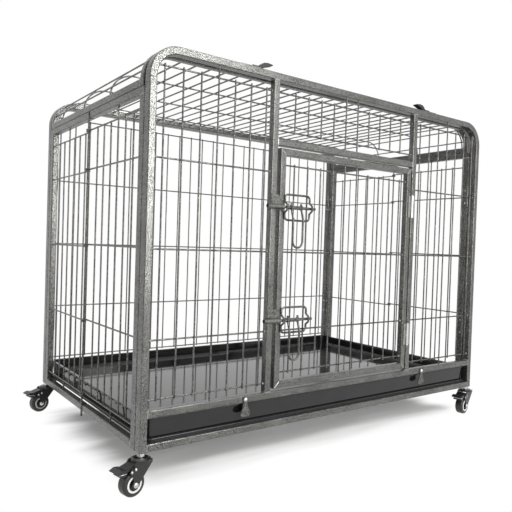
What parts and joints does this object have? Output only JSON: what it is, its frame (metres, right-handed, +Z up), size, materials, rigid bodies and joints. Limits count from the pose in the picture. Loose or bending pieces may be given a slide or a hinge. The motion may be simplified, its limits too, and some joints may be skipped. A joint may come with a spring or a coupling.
{
  "type": "folding dog crate on casters",
  "caption": "Tall steel dog crate on casters: arched end frames, wire grilles, folding sides, lift-up roof, bolted front door and a slide-out tray.",
  "frame": {"origin": "on the floor under the middle of the crate's plan", "axes": "+X to the right along the door side, +Y from the door side to the back, +Z up"},
  "size_m": [1.1604, 0.6855, 0.8939],
  "materials": {
    "frame_paint": "hammertone",
    "wire_paint": "hammertone",
    "zinc": "bright zinc",
    "tray_plastic": "gloss",
    "lever_black": "satin",
    "fork_black": "satin",
    "tyre": "matte",
    "hub": "satin",
    "pedal_plastic": "satin"
  },
  "bodies": {
    "frame": {"front_arch": "frame_paint", "front_posts": "frame_paint", "front_rails": "frame_paint", "front_bay_grilles": "wire_paint", "transom_grille": "wire_paint", "back_arch": "frame_paint", "back_rails": "frame_paint", "back_grille": "wire_paint", "left_leaf_frames": "frame_paint", "right_leaf_frames": "frame_paint", "left_leaf_wires": "wire_paint", "right_leaf_wires": "wire_paint", "side_hinge_rods": "wire_paint", "corner_hinges": "frame_paint", "floor_bars": "wire_paint", "back_hinge_leaves": "zinc", "roof_hinge_pins": "zinc", "latch_plates": "frame_paint", "latch_rivets": "zinc", "post_hinge_leaves": "zinc", "door_hinge_pins": "zinc", "bolt_keepers": "frame_paint", "tray_button_screws": "zinc", "caster_stems": "zinc"},
    "tray": {"tray": "tray_plastic"},
    "roof": {"roof_arches": "frame_paint", "roof_side_rails": "frame_paint", "roof_long_wires": "wire_paint", "roof_cross_wires": "wire_paint", "roof_hinge_leaves": "zinc"},
    "left_latch": {"left_latch_lever": "lever_black"},
    "right_latch": {"right_latch_lever": "lever_black"},
    "door": {"door_frame": "frame_paint", "door_grille": "wire_paint", "door_hinge_leaves": "zinc", "strike_plates": "frame_paint", "bolt_guides": "wire_paint"},
    "upper_bolt": {"upper_bolt": "wire_paint"},
    "lower_bolt": {"lower_bolt": "wire_paint"},
    "upper_handle": {"upper_handle": "wire_paint"},
    "lower_handle": {"lower_handle": "wire_paint"},
    "left_button": {"left_tray_button": "frame_paint"},
    "right_button": {"right_tray_button": "frame_paint"},
    "front_left_caster": {"front_left_fork": "fork_black"},
    "front_left_wheel": {"front_left_tyre": "tyre", "front_left_hub": "hub"},
    "front_left_brake": {"front_left_pedal": "pedal_plastic"},
    "front_right_caster": {"front_right_fork": "fork_black"},
    "front_right_wheel": {"front_right_tyre": "tyre", "front_right_hub": "hub"},
    "front_right_brake": {"front_right_pedal": "pedal_plastic"},
    "back_left_caster": {"back_left_fork": "fork_black"},
    "back_left_wheel": {"back_left_tyre": "tyre", "back_left_hub": "hub"},
    "back_left_brake": {"back_left_pedal": "pedal_plastic"},
    "back_right_caster": {"back_right_fork": "fork_black"},
    "back_right_wheel": {"back_right_tyre": "tyre", "back_right_hub": "hub"},
    "back_right_brake": {"back_right_pedal": "pedal_plastic"}
  },
  "joints": [
    {"name": "door_swing", "type": "hinge", "parent": "frame", "child": "door", "pos_m": [0.23425, -0.3335, 0.436], "axis": [0, 0, 1], "range_deg": [0, 120]},
    {"name": "upper_bolt_slide", "type": "slide", "parent": "door", "child": "upper_bolt", "axis": [1, 0, 0], "range_m": [-0.01, 0.02]},
    {"name": "upper_handle_swing", "type": "hinge", "parent": "upper_bolt", "child": "upper_handle", "pos_m": [-0.17692, -0.33585, 0.58003], "axis": [-1, 0, 0], "range_deg": [0, 150]},
    {"name": "lower_bolt_slide", "type": "slide", "parent": "door", "child": "lower_bolt", "axis": [1, 0, 0], "range_m": [-0.01, 0.02]},
    {"name": "lower_handle_swing", "type": "hinge", "parent": "lower_bolt", "child": "lower_handle", "pos_m": [-0.17692, -0.33585, 0.32299], "axis": [-1, 0, 0], "range_deg": [0, 150]},
    {"name": "roof_lift", "type": "hinge", "parent": "frame", "child": "roof", "pos_m": [0, 0.3065, 0.8815], "axis": [-1, 0, 0], "range_deg": [0, 100]},
    {"name": "left_latch_turn", "type": "hinge", "parent": "frame", "child": "left_latch", "pos_m": [-0.29, -0.319, 0.8813], "axis": [0, 0, 1], "range_deg": [0, 90]},
    {"name": "right_latch_turn", "type": "hinge", "parent": "frame", "child": "right_latch", "pos_m": [0.29, -0.319, 0.8813], "axis": [0, 0, -1], "range_deg": [0, 90]},
    {"name": "tray_slide", "type": "slide", "parent": "frame", "child": "tray", "axis": [0, 1, 0], "range_m": [0, 0.56]},
    {"name": "left_button_turn", "type": "hinge", "parent": "frame", "child": "left_button", "pos_m": [-0.299, -0.3313, 0.154], "axis": [0, 1, 0], "range_deg": [-180, 180]},
    {"name": "right_button_turn", "type": "hinge", "parent": "frame", "child": "right_button", "pos_m": [0.305, -0.3313, 0.154], "axis": [0, 1, 0], "range_deg": [-180, 180]},
    {"name": "front_left_swivel", "type": "hinge", "parent": "frame", "child": "front_left_caster", "pos_m": [-0.538, -0.319, 0.068], "axis": [0, 0, 1], "continuous": true},
    {"name": "front_left_spin", "type": "hinge", "parent": "front_left_caster", "child": "front_left_wheel", "pos_m": [-0.55763, -0.32282, 0.025], "axis": [0.1908, -0.9816, 0], "continuous": true},
    {"name": "front_left_pedal_press", "type": "hinge", "parent": "front_left_caster", "child": "front_left_brake", "pos_m": [-0.56156, -0.32358, 0.0565], "axis": [0.1908, -0.9816, 0], "range_deg": [0, 14]},
    {"name": "front_right_swivel", "type": "hinge", "parent": "frame", "child": "front_right_caster", "pos_m": [0.538, -0.319, 0.068], "axis": [0, 0, 1], "continuous": true},
    {"name": "front_right_spin", "type": "hinge", "parent": "front_right_caster", "child": "front_right_wheel", "pos_m": [0.5183, -0.32247, 0.025], "axis": [0.1736, -0.9848, 0], "continuous": true},
    {"name": "front_right_pedal_press", "type": "hinge", "parent": "front_right_caster", "child": "front_right_brake", "pos_m": [0.51436, -0.32317, 0.0565], "axis": [0.1736, -0.9848, 0], "range_deg": [0, 14]},
    {"name": "back_left_swivel", "type": "hinge", "parent": "frame", "child": "back_left_caster", "pos_m": [-0.538, 0.319, 0.068], "axis": [0, 0, 1], "continuous": true},
    {"name": "back_left_spin", "type": "hinge", "parent": "back_left_caster", "child": "back_left_wheel", "pos_m": [-0.5577, 0.31553, 0.025], "axis": [0.1736, -0.9848, 0], "continuous": true},
    {"name": "back_left_pedal_press", "type": "hinge", "parent": "back_left_caster", "child": "back_left_brake", "pos_m": [-0.56163, 0.31483, 0.0565], "axis": [0.1736, -0.9848, 0], "range_deg": [0, 14]},
    {"name": "back_right_swivel", "type": "hinge", "parent": "frame", "child": "back_right_caster", "pos_m": [0.538, 0.319, 0.068], "axis": [0, 0, 1], "continuous": true},
    {"name": "back_right_spin", "type": "hinge", "parent": "back_right_caster", "child": "back_right_wheel", "pos_m": [0.5183, 0.31553, 0.025], "axis": [0.1736, -0.9848, 0], "continuous": true},
    {"name": "back_right_pedal_press", "type": "hinge", "parent": "back_right_caster", "child": "back_right_brake", "pos_m": [0.51436, 0.31483, 0.0565], "axis": [0.1736, -0.9848, 0], "range_deg": [0, 14]}
  ]
}
